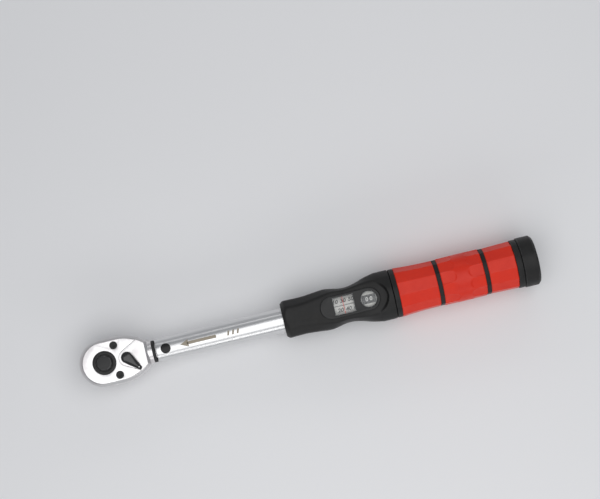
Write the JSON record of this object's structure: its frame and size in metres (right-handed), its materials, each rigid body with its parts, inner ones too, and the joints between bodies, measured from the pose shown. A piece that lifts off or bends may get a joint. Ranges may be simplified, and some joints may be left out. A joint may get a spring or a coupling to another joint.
{
  "type": "torque wrench",
  "caption": "Click-type torque wrench: reversible ratchet head with a square drive, chrome tube, black window housing and a red faceted grip with a lock knob.",
  "frame": {"origin": "centre of the drive square's end face", "axes": "+X from the drive square along the tube to the lock knob, +Z from the drive square to the lever side"},
  "size_m": [0.3451, 0.0372, 0.0396],
  "materials": {
    "satin_chrome": "satin chrome plate",
    "black_steel": "black oxide",
    "button_black": "satin black",
    "bright_steel": "ground",
    "spring_steel": "oiled",
    "seal_rubber": "matt",
    "bush_brass": "turned",
    "scale_metal": "printed silver",
    "drum_plastic": "printed black",
    "black_plastic": "fine grain",
    "bezel_plastic": "satin",
    "clear_lens": "clear",
    "red_line": "gloss",
    "red_grip": "satin"
  },
  "bodies": {
    "tube": {"tube": "satin_chrome", "pivot_pin": "black_steel", "window_housing": "black_plastic", "window_bezel": "bezel_plastic", "long_lens": "clear_lens", "round_lens": "clear_lens", "reading_line": "red_line", "housing_screws": "black_steel", "end_plug": "bright_steel", "grip_snap_ring": "black_steel", "main_spring": "spring_steel"},
    "head": {"head_body": "satin_chrome", "cover_plate": "satin_chrome", "cover_screws": "black_steel", "neck_ring": "seal_rubber"},
    "drive": {"drive_gear": "black_steel", "button_clip": "black_steel", "button_spring": "spring_steel"},
    "release": {"release_button": "button_black"},
    "detent": {"detent_ball": "bright_steel"},
    "selector": {"selector_lever": "black_steel", "shaft_clip": "black_steel"},
    "pawl": {"pawl": "black_steel"},
    "trip_block": {"trip_block": "bright_steel"},
    "plunger": {"plunger": "bright_steel"},
    "scale": {"adjusting_nut": "bright_steel", "scale_keys": "bright_steel", "scale_sleeve": "scale_metal", "spring_seat": "bright_steel"},
    "grip": {"grip_core": "black_plastic", "grip_front": "red_grip", "grip_middle": "red_grip", "grip_rear": "red_grip", "front_ring": "black_plastic", "rear_ring": "black_plastic", "grip_bushes": "bush_brass", "micrometer_drum": "drum_plastic", "spindle": "bright_steel", "thrust_bearing": "bright_steel", "lock_spring": "spring_steel"},
    "lock": {"lock_knob": "black_plastic", "lock_sleeve": "bright_steel", "lock_key": "bright_steel", "knob_screw": "black_steel"}
  },
  "joints": [
    {"name": "head_pivot", "type": "hinge", "parent": "tube", "child": "head", "pos_m": [0.04593, 0, 0.021], "axis": [0, 0, 1], "range_deg": [0, 2.4], "stiffness_Nm_per_rad": 40},
    {"name": "trip_tilt", "type": "hinge", "parent": "tube", "child": "trip_block", "pos_m": [0.09398, -0.00088, 0.021], "axis": [0, 0, 1], "range_deg": [-18, 0]},
    {"name": "plunger_slide", "type": "slide", "parent": "tube", "child": "plunger", "axis": [1, 0, 0], "range_m": [0, 0.00055]},
    {"name": "drive_spin", "type": "hinge", "parent": "head", "child": "drive", "pos_m": [0, 0, 0.021], "axis": [0, 0, 1], "continuous": true},
    {"name": "release_press", "type": "slide", "parent": "drive", "child": "release", "axis": [0, 0, -1], "range_m": [0, 0.003], "stiffness_N_per_m": 600, "springref_m": -0.002, "deforming": ["button_spring"]},
    {"name": "detent_slide", "type": "slide", "parent": "drive", "child": "detent", "axis": [0, -1, 0], "range_m": [0, 0.0009]},
    {"name": "selector_swing", "type": "hinge", "parent": "head", "child": "selector", "pos_m": [0.017, 0, 0.031], "axis": [0, 0, 1], "range_deg": [0, 100]},
    {"name": "pawl_rock", "type": "hinge", "parent": "head", "child": "pawl", "pos_m": [0.017, 0, 0.021], "axis": [0, 0, 1], "range_deg": [0, 12]},
    {"name": "grip_turn", "type": "hinge", "parent": "tube", "child": "grip", "pos_m": [0.24, 0, 0.021], "axis": [1, 0, 0], "range_deg": [-2160, 1440]},
    {"name": "scale_slide", "type": "slide", "parent": "tube", "child": "scale", "axis": [1, 0, 0], "range_m": [-0.009, 0.006], "deforming": ["main_spring"]},
    {"name": "lock_pull", "type": "slide", "parent": "grip", "child": "lock", "axis": [1, 0, 0], "range_m": [0, 0.004], "stiffness_N_per_m": 400, "springref_m": -0.003, "deforming": ["lock_spring"]}
  ],
  "couplings": [
    {"joint": "trip_tilt", "follows": "head_pivot", "ratio": -7.5},
    {"joint": "plunger_slide", "follows": "head_pivot", "m_per_rad": 0.01313},
    {"joint": "detent_slide", "follows": "release_press", "ratio": 0.3},
    {"joint": "pawl_rock", "follows": "selector_swing", "ratio": 0.12},
    {"joint": "scale_slide", "follows": "grip_turn", "m_per_rad": 0.00023873}
  ]
}
